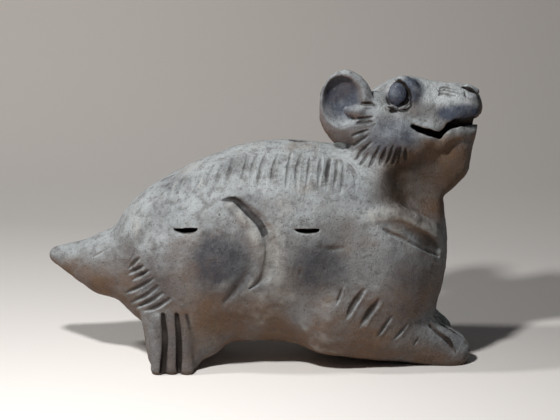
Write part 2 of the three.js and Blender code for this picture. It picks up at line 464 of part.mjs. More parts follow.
function topSlitCutter() {
  const s = new THREE.Shape();
  s.absellipse(0, 0, TOP_SLIT.length / 2, TOP_SLIT.width / 2, 0, Math.PI * 2, false, 0);
  let z = 90;
  for (let i = 0; i < 60; i++) z -= Math.max(rat([TOP_SLIT.x, TOP_SLIT.y, z]), .01) * .8;
  const g = new THREE.ExtrudeGeometry(s, { depth: TOP_SLIT.depth + 4, bevelEnabled: false, curveSegments: 5 });
  g.translate(TOP_SLIT.x, TOP_SLIT.y, z - TOP_SLIT.depth);
  return solidOfGeometry(g);
}

const fine = skin(rat, [-84, -36, -12], [86, 36, 112], CELL);
const coarse = outer(thin(outer(fine), FACES));
let body = solidOf(coarse.pos, coarse.tri);
const under = new THREE.BoxGeometry(220, 120, 20).translate(0, 0, -10);
body = body.subtract(solidOfGeometry(under));
for (const side of [-1, 1]) for (const [x, z, tilt] of SLIT_AT) body = body.subtract(slitCutter(x, z, tilt, side));
body = body.subtract(topSlitCutter());

const clay = new THREE.MeshStandardMaterial({ name: "smoked_clay", color: 0x8d8a85, roughness: 0.85, metalness: 0 });
const rat_figurine = new THREE.Mesh(geometryOf(body).translate(...SHIFT), clay);
rat_figurine.name = "rat_figurine";

const figure = new THREE.Group();
figure.add(rat_figurine);
export default figure;
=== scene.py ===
"""Looks of the clay rat figurine: the fine modelled surface, the smoke-fired clay, a plain floor, soft light."""

import math
from concurrent.futures import ThreadPoolExecutor

import bpy
import numpy as np
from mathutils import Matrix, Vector


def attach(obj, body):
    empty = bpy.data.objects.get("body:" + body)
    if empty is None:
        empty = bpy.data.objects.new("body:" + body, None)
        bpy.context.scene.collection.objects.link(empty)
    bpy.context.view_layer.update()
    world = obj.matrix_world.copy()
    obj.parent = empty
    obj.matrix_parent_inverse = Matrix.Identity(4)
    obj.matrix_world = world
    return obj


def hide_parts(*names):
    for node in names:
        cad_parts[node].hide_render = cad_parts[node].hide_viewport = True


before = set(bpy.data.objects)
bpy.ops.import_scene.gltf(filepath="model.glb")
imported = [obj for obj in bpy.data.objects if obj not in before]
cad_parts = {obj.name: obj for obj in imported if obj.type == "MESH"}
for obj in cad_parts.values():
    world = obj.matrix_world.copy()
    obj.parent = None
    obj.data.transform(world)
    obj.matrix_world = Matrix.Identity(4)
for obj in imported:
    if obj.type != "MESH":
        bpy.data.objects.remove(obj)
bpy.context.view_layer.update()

F = np.float32
CELL = 0.42                                  # mm, grid of the fine surface
KEEP = 196000                                # triangles kept
SHIFT = np.array([0.951, -0.016, 0.0])       # mm, from the modelling frame to the frame's origin

# ---------------------------------------------------------------- sizes of the form (mm)
RIB = ((7.9, 0, 44.4), (50.8, 29.5, 38.0))
HAUNCH = ((-23.5, 0, 37.6), (34.4, 27.0, 31.8))
CHEST = ((43.1, 0, 42.5), (24.7, 25.5, 41.8))
BELLY = ((0, 0, 33.8), (33.9, 22.0, 20.3))
NECK = ((38, 0, 56), (49.0, 0, 67.2), 22, 13.5)
TAIL = ((-78.4, 8.5, 36.8), (-59.1, 2.5, 34.7), 3.2, 11.5)
THIGH = ((-22, -18, 39), (21.5, 13.5, 23))
FOOT = ((-32.9, -19.0, 11.9), (10.0, 8.0, 17.8))
HEEL = ((-38, -17, 26), (-37, -20, 6), 8, 5)
TOES = ((-38.9, 2.7), (-34.0, 2.4), (-28.6, 2.7))
WEB = ((-22.5, -15, 16.0), (9, 6, 12))
SHOULDER = ((43, -14, 36), (17, 14.5, 24))
ELBOW_LIMB = ((25.6, -11, 21.4), (63.7, -9.5, 6.8), 17.9, 7.3)
PAW_NEAR = ((57.7, -9.5, 7.8), (68.7, -9.0, 4.1), 7.3, 7.5)
PAW_FAR = ((55.7, 8.5, 7.0), (62.7, 7.5, 3.0), 7.0, 5.2)

HEAD_AT = (57, 0, 81)
SKULL = ((-0.2, 0, -4.1), (18.5, 18.0, 16.8))
CROWN = ((-6.1, 0, 13.1), (4.5, 0, 11.4), 11.6, 11.4)
NAPE = ((-15.9, 0, 4.6), (12.9, 15.0, 14.3))
CHEEK = ((-12, -8, 3), (13, 11.5, 11.5))
SNOUT = ((14.5, 0, 14.1), (8.1, 9.0, 7.9))
PAD = ((12, -5, 12), (9.0, 6.2, 5.6))
JAW = ((9.5, 0, 6.7), (11.5, 10.0, 10.0))
BROW = ((-3.5, -6.5, 17.4), (8.0, 6.5, 6.95))
BRIDGE = ((-1, -5, 14.5), (11, -3.8, 14.5), 8.4, 6.6)
TEMPLE = ((-15.5, -10.5, 10.0), (8.0, 7.3, 9.0))
JAW_SLANT = ((-3, -16.5, -6), (.60, -.66, -.45))          # the underside of the jaw: a point on it and where it faces
KEEL = [(13.4, 0, 3.5, 6.6), (10.5, 0, -7.0, 7.3), (7.2, 0, -12.2, 6.6)]      # the throat between its two slants
NECK_HOLLOW = ((58, -27, 67), (18, 19, 11), 43)           # centre, reach along it, across and up, dip of its long axis
EYE = ((-7.3, -12.7, 18.1), (3.75, 3.8, 4.7))
EAR_AT, EAR_R = (-26.3, -14.8, 13.2), (10.2, 4.4, 13.4)

# ---------------------------------------------------------------- distance functions
def rot(yaw=0, roll=0):
    a, c = math.radians(yaw), math.radians(roll)
    rz = np.array([[math.cos(a), -math.sin(a), 0], [math.sin(a), math.cos(a), 0], [0, 0, 1]])
    rx = np.array([[1, 0, 0], [0, math.cos(c), -math.sin(c)], [0, math.sin(c), math.cos(c)]])
    return (rz @ rx).astype(F)


HEAD_TURN, EAR_TURN = rot(-7, -7), rot(-2, 6)


def dip(angle):
    a = math.radians(angle)
    return np.array([[math.cos(a), 0, math.sin(a)], [0, 1, 0], [-math.sin(a), 0, math.cos(a)]], F)


def ell(P, c, r, R=None):
    q = P - np.asarray(c, F)
    if R is not None:
        q = q @ R
    r = np.asarray(r, F)
    a = q / r
    b = a / r
    k0 = np.sqrt((a * a).sum(-1))
    k1 = np.sqrt((b * b).sum(-1)) + F(1e-9)
    return k0 * (k0 - 1) / k1


def limb(P, a, b, ra, rb):
    if ra == rb:
        rb = rb - 1e-3
    a = np.asarray(a, F)
    b = np.asarray(b, F)
    ba = b - a
    l2 = float(ba @ ba)
    rr = float(ra - rb)
    a2 = l2 - rr * rr
    il2 = 1.0 / l2
    pa = P - a
    y = pa @ ba
    z = y - F(l2)
    w = pa * F(l2) - ba * y[..., None]
    x2 = (w * w).sum(-1)
    y2 = y * y * F(l2)
    z2 = z * z * F(l2)
    k = F(np.sign(rr) * rr * rr) * x2
    c1 = np.sign(z) * F(a2) * z2 > k
    c2 = np.sign(y) * F(a2) * y2 < k
    d1 = np.sqrt(x2 + z2) * F(il2) - F(rb)
    d2 = np.sqrt(x2 + y2) * F(il2) - F(ra)
    d3 = (np.sqrt(x2 * F(a2 * il2)) + y * F(rr)) * F(il2) - F(ra)
    return np.where(c1, d1, np.where(c2, d2, d3)).astype(F)


def smin(a, b, k):
    h = np.maximum(k - np.abs(a - b), 0) / F(k)
    return np.minimum(a, b) - h * h * h * F(k / 6)


def smax(a, b, k):
    return -smin(-a, -b, k)


def step01(x, a, b):
    t = np.clip((x - a) / (b - a), 0, 1)
    return t * t * (3 - 2 * t)


def curve(pts, n):
    p = np.array(pts, float)
    q = np.vstack([2 * p[0] - p[1], p, 2 * p[-1] - p[-2]])
    out = []
    for i in range(1, len(q) - 2):
        for j in range(n):
            t = j / n
            out.append(.5 * (2 * q[i] + (q[i + 1] - q[i - 1]) * t + (2 * q[i - 1] - 5 * q[i] + 4 * q[i + 1] - q[i + 2]) * t * t
                             + (3 * q[i] - q[i - 1] - 3 * q[i + 1] + q[i + 2]) * t ** 3))
    return np.array(out + [p[-1]])


def chain(P, pts, k=0.0):
    """limbs end to end, evaluated only near them; each point is x, y, z, radius"""
    pts = np.asarray(pts, float)
    out = np.full(P.shape[:-1], 9.0, F)
    reach = 5.0
    lo = (pts[:, :3] - pts[:, 3:4]).min(0) - reach
    hi = (pts[:, :3] + pts[:, 3:4]).max(0) + reach
    m = ((P > lo.astype(F)) & (P < hi.astype(F))).all(-1)
    if not m.any():
        return out
    Q = P[m]
    d = None
    for a, b in zip(pts[:-1], pts[1:]):
        c = limb(Q, a[:3], b[:3], a[3], b[3])
        d = c if d is None else (smin(d, c, k) if k else np.minimum(d, c))
    out[m] = np.minimum(d, 9)
    return out


# ---------------------------------------------------------------- carved lines (mm)
CRESCENT = [(-15.2, -22.6, 64.3, .9, .4), (-11, -22.9, 64.3, 1.6, .8), (-8.1, -24.5, 62.4, 2.0, .95), (-4.9, -26.2, 59.5, 2.3, 1.05),
            (-2.1, -27.3, 57, 2.4, 1.05), (.1, -28.4, 53, 2.6, 1.05), (1.5, -29.3, 46.6, 2.8, 1.0), (.5, -29.2, 40.2, 2.8, .9),
            (-1.3, -28.6, 35.6, 2.4, .8), (-5.4, -28.2, 32.8, 1.2, .4)]
GOUGE_SOFT = [(-4.9, -30.7, 44.7, 1.2), (-6.7, -30.5, 37.9, 1.9), (-9.6, -30.3, 33.1, 1.9), (-14.3, -29.6, 27.5, 1.1)]
FOLD_RIDGE = [(39.5, -23.4, 58.5, 2), (47.3, -22.2, 59, 2.6), (53.5, -20, 56.5, 2.6), (60.3, -15.5, 51, 2)]
FOLD_SCOOP = [(43, -28.6, 56.6, 2.4), (50, -27.4, 55, 3.6), (57, -23.6, 50.6, 3.6), (64, -15.8, 44.6, 2.4)]
FOLD_EDGE = [(42.7, -26.2, 54, .4), (45.4, -26.2, 52.5, .9), (52, -25, 49.5, 1.1), (58.3, -21.1, 45.7, 1), (63.5, -14.6, 41.6, .6)]
TOE_GAPS = [[(-37, -26.6, 22.5, .6), (-36.6, -27.4, 14, .85), (-36.5, -27.4, 0, .85)],
            [(-32.3, -27.4, 22.5, .6), (-31.5, -27.6, 14, .85), (-31.4, -27.6, 0, .85)],
            [(-37, -27.6, 22.5, .8), (-36.6, -28.8, 14, 1.1), (-36.5, -28.8, 0, 1.1)],
            [(-32.3, -28.4, 22.5, .8), (-31.5, -28.9, 14, 1.1), (-31.4, -28.9, 0, 1.1)],
            [(-28.4, -28.2, 22.5, .7), (-26.2, -27.4, 15, 1.0), (-24.8, -26.4, 7, .6)]]
PAW_GAPS = [[(60.6, -16.2, 15.7, .7), (67.4, -15.2, 9.6, 1), (70.5, -14.8, 4, .9)],
            [(62.3, -11.3, 18.3, .7), (67.7, -10.8, 12.8, 1), (73.5, -10.8, 7.5, .9), (76, -10.5, 3, .7)],
            [(63.5, -7, 18.6, .7), (69.5, -6.4, 13.4, 1), (75.4, -6.2, 6, .9)]]
UPPER_LID = [(-8.0, -11.9, 23.2, .6), (-6.6, -12.0, 23.3, 1.2), (-4.9, -12.4, 22.7, 1.8),
             (-2.9, -12.7, 21.1, 2.1), (-1.8, -12.9, 19.0, 2.0), (-1.9, -13.3, 16.8, 1.2)]
LOWER_LID = [(-3.0, -14.6, 17.4, .4), (-3.4, -14.9, 15.0, .55), (-5.0, -15.2, 13.6, .5), (-7.0, -15.6, 12.7, .5), (-9.1, -16.1, 13.9, .5), (-11.0, -16.8, 13.7, .35)]
LID_GAPS = [[(-11.3, -14.6, 18.9, .4), (-11.0, -14.2, 21.2, .45), (-9.8, -13.8, 22.8, .6), (-7.8, -13.8, 23.0, .75), (-5.2, -14.2, 21.5, .8), (-3.7, -14.5, 19.4, .8), (-3.4, -14.6, 17.0, .8), (-4.6, -14.9, 15.1, .7), (-6.6, -15.3, 14.2, .4)],
            [(-11.3, -15.0, 18.2, .4), (-10.7, -15.2, 15.4, .5), (-9.2, -15.4, 13.9, .45)],
            [(-9.7, -16.3, 12.2, .6), (-8.0, -15.7, 12.4, .7)], [(-5.3, -14.6, 12.9, .6), (-3.9, -14.2, 13.1, .5)]]
LIP = [(8.2, -8.6, 7.2, 2.6), (12.5, -8, 11.2, 4.4), (18, -5.4, 13.2, 4.2)]
LOW_LIP = [(-1.3, -15.0, 4.4, 1.0), (3.7, -13.7, 2.3, 1.5), (8.0, -10.3, .6, 1.9), (10.4, -9.1, 3.2, 2.2), (14.3, -6.8, 4.4, 2.2), (18.6, -3.4, 5.1, 2.0)]
MOUTH = [(-1.9, 0, 6.6, .8), (.3, 0, 5.5, .95), (4.2, 0, 4.4, 1.0), (7.6, 0, 3.3, .9), (9.4, 0, 5.0, .45), (11.2, 0, 6.9, 1.15), (13.6, 0, 7.9, 1.65), (16.4, 0, 8.6, 1.8), (26, 0, 9.7, 1.75)]
NOSTRIL = [(16.0, -4.8, 20.9, .6), (17.1, -4.3, 20.5, 1.05), (18.2, -4.0, 19.9, 1.3), (19.4, -3.7, 19.0, 1.15), (20.5, -3.3, 18.1, .8), (21.3, -3.0, 17.2, .55)]

# strokes of the tool, on the right flank (x, y, z), drawn onto the form and mirrored to the left
BACK = [
    [(-37.4, -11.5, 64.5), (-40.4, -15.8, 58.8)], [(-32.9, -9.2, 68.3), (-36.2, -17.0, 60.6)], [(-29.0, -8.5, 70.6), (-32.6, -16.9, 62.9)],
    [(-25.7, -8.9, 72.0), (-29.2, -19.6, 62.2)], [(-21.8, -9.6, 73.5), (-26.0, -19.0, 64.0)], [(-18.5, -9.7, 74.8), (-21.5, -17.9, 67.1)],
    [(-14.8, -9.8, 76.1), (-18.0, -18.9, 67.5)], [(-11.3, -9.6, 77.4), (-14.3, -19.2, 68.6)], [(-6.1, -9.7, 78.8), (-9.2, -20.4, 68.9)],
    [(-2.8, -10.7, 78.9), (-5.3, -21.2, 69.0)], [(0.4, -11.4, 79.0), (-2.7, -22.3, 67.9)], [(5.0, -11.9, 79.1), (2.4, -22.9, 68.0)],
    [(9.5, -11.9, 79.1), (7.5, -23.1, 68.1)], [(13.4, -11.6, 79.1), (11.4, -23.4, 67.5)], [(16.6, -12.8, 78.0), (14.6, -23.1, 67.4)],
    [(20.6, -12.0, 77.8), (19.1, -22.2, 67.9)], [(23.8, -11.3, 77.7), (22.3, -21.7, 67.8)], [(26.4, -12.0, 77.2), (24.9, -21.4, 67.8)],
    [(28.9, -13.7, 76.2), (27.4, -22.0, 66.6)], [(28.4, -13.0, 76.6), (31.5, -16.3, 74.2), (32.7, -18.9, 71.6), (32.5, -21.9, 66.9)]]
RUMP = [
    [(-45.7, -20.4, 42.1), (-50.0, -17.3, 37.4)], [(-44.0, -22.2, 39.6), (-50.0, -17.2, 35.5)], [(-42.0, -24.0, 38.4), (-48.6, -18.2, 33.4)],
    [(-40.4, -25.3, 35.6), (-46.2, -20.0, 31.1), (-51.6, -13.4, 27.2)], [(-38.8, -26.2, 33.0), (-44.3, -22.5, 28.3), (-50.1, -12.1, 23.2)],
    [(-37.1, -26.8, 30.6), (-42.3, -24.3, 26.7), (-48.2, -13.4, 21.9)], [(-34.3, -27.8, 28.7), (-39.0, -25.9, 25.3), (-44.0, -22.5, 22.9)]]
ELBOW = [
    [(28.2, -27.5, 33.1), (26.0, -28.5, 27.2)], [(35.7, -28.0, 32.2), (31.8, -28.1, 26.2), (29.1, -28.7, 20.8)],
    [(41.0, -28.2, 28.4), (37.3, -27.4, 22.7), (34.3, -27.3, 18.0)], [(45.8, -26.3, 21.8), (40.9, -25.0, 13.6)],
    [(51.6, -23.0, 18.1), (47.0, -23.3, 12.4)], [(56.4, -19.9, 12.0), (54.7, -20.1, 9.1)]]
ELBOW_R = [.55, 1.25, 1.35, .9, .9, .5]
SCRATCHES = [
    [(-47.7, -12.7, 54.7), (-48.5, -15.8, 49.1), (-49.5, -15.8, 47.2)], [(-47.4, -18.5, 44.5), (-49.9, -17.3, 39.0)],
    [(-64.7, -8.8, 40.3), (-59.0, -9.2, 43.6)], [(12.7, -29.1, 39.8), (12.7, -28.8, 37.1)], [(21.3, -28.3, 40.3), (22.0, -28.1, 39.2)]]
# on the head, in its own frame
RUFF = [
    [(-19.9, -16.1, 13.5), (-15.5, -17.3, 14.2)], [(-20.1, -16.6, 9.4), (-16.4, -18.0, 9.9)], [(-20.8, -16.5, 6.8), (-16.4, -18.3, 8.1)],
    [(-22.3, -15.6, 3.7), (-17.8, -18.3, 5.1)], [(-23.3, -13.5, -0.9), (-20.7, -16.5, 1.0), (-17.7, -18.4, 3.0)],
    [(-22.3, -15.4, -5.6), (-20.4, -15.4, -3.0), (-16.6, -18.6, 0.7)], [(-20.3, -17.1, -7.2), (-19.2, -16.3, -5.8), (-17.7, -16.6, -3.6)],
    [(-17.0, -18.0, -8.2), (-15.5, -16.9, -5.0), (-13.3, -18.9, -0.5)], [(-13.3, -17.3, -7.1), (-12.2, -17.3, -4.5), (-11.1, -18.8, -1.2)],
    [(-10.6, -16.6, -6.7), (-9.7, -17.2, -4.1), (-8.6, -18.7, -0.4)], [(-8.5, -15.2, -6.9), (-7.8, -16.3, -4.5), (-7.0, -18.2, -1.0)],
    [(-6.8, -13.8, -6.8), (-6.3, -16.3, -3.7), (-6.0, -17.9, -0.8)], [(-4.3, -13.2, -5.7), (-4.1, -17.2, -1.5)]]
WRINKLES = [
    [(7.4, -8.8, 20.6), (9.2, -7.7, 20.9), (13.2, -8.0, 19.9)], [(7.1, -10.2, 19.3), (8.8, -9.0, 20.0), (14.7, -8.7, 18.6)],
    [(7.1, -11.1, 17.9), (8.4, -10.3, 18.7), (13.3, -9.8, 17.8)]]


# ---------------------------------------------------------------- the form
def to_head(P):
    q = (P - np.asarray(HEAD_AT, F)) @ HEAD_TURN
    far = step01(q[..., 1], 2, 12)
    q[..., 2] += F(3.2) * far
    q[..., 0] += far
    q[..., 1] = -np.abs(q[..., 1])
    return q


def mirrored(P):
    m = P.copy()
    m[..., 1] = -np.abs(m[..., 1])
    return m


def plain(P):
    """the form before any line is cut in it"""
    M, Q = mirrored(P), to_head(P)
    f = ell(P, *RIB)
    f = smin(f, ell(P, *HAUNCH), 14)
    f = smin(f, ell(P, *CHEST), 12)
    f = smin(f, ell(P, *BELLY), 8)
    f = smin(f, limb(P, *NECK), 10)
    f = smin(f, limb(P, *TAIL), 12)
    f = smin(f, ell(M, *THIGH), 5)
    f = smin(f, ell(M, *FOOT), 9)
    f = smin(f, limb(M, *HEEL), 6)
    for x, r in TOES:
        f = smin(f, limb(M, (x * .9 - 3.4, -24.0, 21), (x, -25.2, 2.0), r, r), 1.2)
    f = smin(f, ell(M, *WEB), 9)
    f = smin(f, ell(M, *SHOULDER), 8)
    f = smin(f, limb(M, *ELBOW_LIMB), 10)
    f = smin(f, limb(P, *PAW_NEAR), 5)
    f = smin(f, limb(P, *PAW_FAR), 5)
    h = ell(Q, *SKULL)
    h = smin(h, limb(Q, *CROWN), 9)
    h = smin(h, ell(Q, *NAPE), 7)
    h = smin(h, ell(Q, *CHEEK), 6)
    h = smin(h, ell(Q, *SNOUT), 8)
    h = smin(h, ell(Q, *PAD), 3)
    h = smin(h, ell(Q, *JAW), 5)
    h = smin(h, ell(Q, *BROW), 5)
    h = smin(h, limb(Q, *BRIDGE), 4)
    h = smin(h, ell(Q, *TEMPLE), 4)
    at, n = np.array(JAW_SLANT[0], F), np.array(JAW_SLANT[1], F)
    h = smax(h, (Q - at) @ (n / F(np.linalg.norm(n))), 6)
    for a, b in zip(KEEL[:-1], KEEL[1:]):
        h = smin(h, limb(Q, a[:3], b[:3], a[3], b[3]), 4)
    f = smin(f, h, 5)
    at, r, a = NECK_HOLLOW
    return smax(f, -ell(M, at, r, dip(a)), 6)


def face(Q, f):
    (ex, ey, ez), er = EYE
    f = smax(f, -ell(Q, (ex, ey - 1.2, ez - .1), (4.6, 3.4, 5.6)), .8)
    f = smin(f, chain(Q, UPPER_LID, 1.5), 3)
    f = np.minimum(f, ell(Q, EYE[0], er))
    f = smin(f, chain(Q, LOWER_LID), .6)
    for g in LID_GAPS:
        f = smax(f, -chain(Q, g), .25)
    f = smax(f, -ell(Q, (-8.6, -20.9, 8.6), (6.0, 3.8, 5.0)), 4)
    f = smin(f, chain(Q, LIP, 2), 2.5)
    f = smin(f, chain(Q, LOW_LIP, 1), 2.5)
    Q2 = Q.copy()
    Q2[..., 1] = 0
    mouth = chain(Q2, MOUTH, .8)
    depth = 4.5 - 2.9 * step01(Q[..., 0], 10, 17)
    f = smax(f, -np.maximum(mouth, -(f + depth)), .8)
    f = smin(f, limb(Q, (17.2, -2.2, 21.4), (20.6, -1.6, 19.6), .9, .9), 1.2)
    f = smin(f, ell(Q, (19.1, -5.7, 16.9), (2.0, 1.8, 2.0)), 1.4)
    f = smax(f, -chain(Q, NOSTRIL), .35)
    return smax(f, -chain(Q, [(16.6, -6.4, 20.2, .35), (16.7, -7.9, 17.6, .4)]), .3)


def ear(Q):
    (x, y, z), (a, b, c) = EAR_AT, EAR_R
    e = ell(Q, EAR_AT, EAR_R, EAR_TURN)
    e = smin(e, ell(Q, (x + 7, y + 1, z - 6.5), (6.5, 5, 8)), 3)
    e = smax(e, -ell(Q, (x - 1.1, y - 4.7, z + 2.3), (a - 2.1, 5.5, c - 3.7), EAR_TURN), 1.2)
    e = smax(e, -ell(Q, (x - 1.6, y - 2.2, z + 4.0), (a - 4.2, 4.6, c - 6), EAR_TURN), 1)
    e = smin(e, limb(Q, (x + 1.0, y - 1.8, z - 1.2), (x + 4.8, y - 2.0, z - 1.6), 1.7, 2.7), 1.2)
    return smax(e, -limb(Q, (x - 1.6, y - 1.4, z + .2), (x - 1.6, y - 2.0, z - 3.6), .9, .6), .4)


def on_form(pts, fn):
    """puts points exactly on the surface of a field"""
    p = np.array(pts, F)
    for _ in range(6):
        f = fn(p)
        g = np.stack([fn(p + np.eye(3, dtype=F)[k] * F(.2)) - f for k in range(3)], -1) / F(.2)
        p = p - g * (f / np.maximum((g * g).sum(-1), .3))[..., None]
    g /= np.linalg.norm(g, axis=-1, keepdims=True)
    return p.astype(float), g.astype(float)


def head_back(q):
    """from the head's frame to the model's, right side"""
    return np.asarray(q, float) @ HEAD_TURN.T.astype(float) + np.asarray(HEAD_AT, float)


rng = np.random.default_rng(20)
STROKES = []                                  # (points with radius, raised burr beside it or None, in the head's frame)


def eared(P):
    return smin(plain(P), ear(to_head(P)), 2)


def stroke(pts, r, sink=.15, head=False, burr=.0, jitter=.0, steps=3):
    p = head_back(pts) if head else np.array(pts, float)
    skin_ = eared if head else plain
    p, g = on_form(p, skin_)
    if len(p) == 2:
        d = p[1] - p[0]
        mid = (p[0] + p[1]) / 2 + rng.normal(0, jitter, 3)
        p = np.array([p[0], mid, p[1]])
    p = curve(p, steps)
    p, g = on_form(p, skin_)
    n = len(p)
    t = np.linspace(0, 1, n)
    rad = r * (.35 + .65 * np.sin(np.pi * np.clip(t * 1.02 + .06, 0, 1)) ** .6)
    c = p + g * (r * (1 - .0) * .45 - sink)   # the tool's middle runs just above the skin
    place = (lambda v: (v - np.asarray(HEAD_AT, float)) @ HEAD_TURN.astype(float)) if head else (lambda v: v)
    STROKES.append((np.hstack([place(c), rad[:, None]]), None, head))
    if burr:
        side = np.cross(np.gradient(p, axis=0), g)
        side /= np.linalg.norm(side, axis=1, keepdims=True) + 1e-9
        s = np.sign(side[n // 2][0]) or 1     # pushed towards the nose
        b = p + side * s * (r * 1.25) - g * .25
        STROKES.append((np.hstack([place(b), (rad * burr)[:, None]]), "burr", head))


for i, s in enumerate(BACK):
    stroke(s, .78 + .12 * math.sin(i * 2.1), sink=.2, burr=.55, jitter=.25)
for s in RUMP:
    stroke(s, .95, sink=.3, burr=.5, jitter=.15)
for s, r in zip(ELBOW, ELBOW_R):
    stroke(s, r, sink=.25, burr=.45, jitter=.15)
for s in SCRATCHES:
    stroke(s, .35, sink=.12)
for s in RUFF:
    stroke(s, .75 + .12 * rng.uniform(-1, 1), sink=.42, head=True, burr=.5, jitter=.2)
for s in WRINKLES:
    stroke(s, .5, sink=.32, head=True)


FACE_LINES = [pts for pts, kind, head in STROKES if head and not kind]
for x in (-36.6, -31.5):
    stroke([(x - .4, -28, 22.5), (x + .35, -28, 13), (x - .1, -28, 1.5)], 1.1, sink=.7)
    STROKES[-1][0][:, 3] = np.linspace(.7, 1.2, len(STROKES[-1][0]))
TOE_LINES = [STROKES[-2][0], STROKES[-1][0]]


def carved(P):
    M, Q = mirrored(P), to_head(P)
    f = plain(P)
    on_head = (P[..., 0] > 20) & (P[..., 2] > 60)
    if on_head.any():
        f[on_head] = face(Q[on_head], f[on_head])
    cr = np.array(CRESCENT)
    edge = curve(cr, 2)
    f = smin(f, chain(M, np.hstack([cr[2:, :3] + (-3.4, 2.8, -1), np.full((8, 1), 2.2)]), 1), 3)
    f = smax(f, -chain(M, np.hstack([edge[:, :3] + (1.1, -1.55, .3), edge[:, 3:4]])), 1)
    f = smax(f, -chain(M, np.hstack([edge[:, :3], edge[:, 4:5] * 1.25])), .3)
    f = smax(f, -chain(M, curve(GOUGE_SOFT, 2)), 1.5)
    f = smin(f, chain(M, FOLD_RIDGE, 1), 4)
    f = smax(f, -chain(M, FOLD_SCOOP, 1), 2)
    f = smax(f, -chain(M, FOLD_EDGE), .6)
    for g in TOE_GAPS + PAW_GAPS:
        f = smax(f, -chain(M, g), .6)
    for cx, cz, tilt in ((-28.3, 54.4, .06), (15.2, 54.4, -.02)):
        x = M[..., 0] - F(cx)
        z = M[..., 2] - F(cz) - F(tilt) * x
        lens = np.maximum(np.sqrt((x / F(4.4)) ** 2 + (z / F(1.5)) ** 2) * F(1.5) - F(1.5), z)
        f = smax(f, -np.maximum(lens, -(f + 7)), .3)
    x, y = P[..., 0] - F(13), P[..., 1] + F(1.2)
    lens = np.sqrt((x / F(4.2)) ** 2 + (y / F(2.1)) ** 2) * F(2.1) - F(2.1)
    top = P[..., 2] > 60
    f = np.where(top, smax(f, -np.maximum(lens, -(f + 7)), .3), f)
    f = smax(f, -chain(M, [(20, -29.2, 48.1, .9), (24.1, -28.6, 47.2, 1.2), (28.3, -28, 47.6, .9)]), .6)
    if on_head.any():
        f[on_head] = smin(f[on_head], ear(Q[on_head]), 2)
    for pts, kind, head in STROKES:
        c = chain(Q if head else M, pts)
        f = smin(f, np.maximum(c, f - F(.4)), .8) if kind else smax(f, -c, .25)
    return f


# ---------------------------------------------------------------- value noise
def lattice(seed):
    return np.random.default_rng(seed).uniform(-1, 1, (64, 64, 64)).astype(F)


def noise(P, scale, table):
    q = P * F(1 / scale) + F(17.3)
    i = np.floor(q).astype(np.int32)
    t = q - i
    t = t * t * (3 - 2 * t)
    out = 0
    for dx in (0, 1):
        for dy in (0, 1):
            for dz in (0, 1):
                w = (t[..., 0] if dx else 1 - t[..., 0]) * (t[..., 1] if dy else 1 - t[..., 1]) * (t[..., 2] if dz else 1 - t[..., 2])
                out = out + w * table[(i[..., 0] + dx) % 64, (i[..., 1] + dy) % 64, (i[..., 2] + dz) % 64]
    return out


# ---------------------------------------------------------------- the fine surface
def parallel(fn, P, size=40000):
    parts = [P[i:i + size] for i in range(0, len(P), size)]
    with ThreadPoolExecutor(4) as ex:
        return np.concatenate(list(ex.map(fn, parts)))


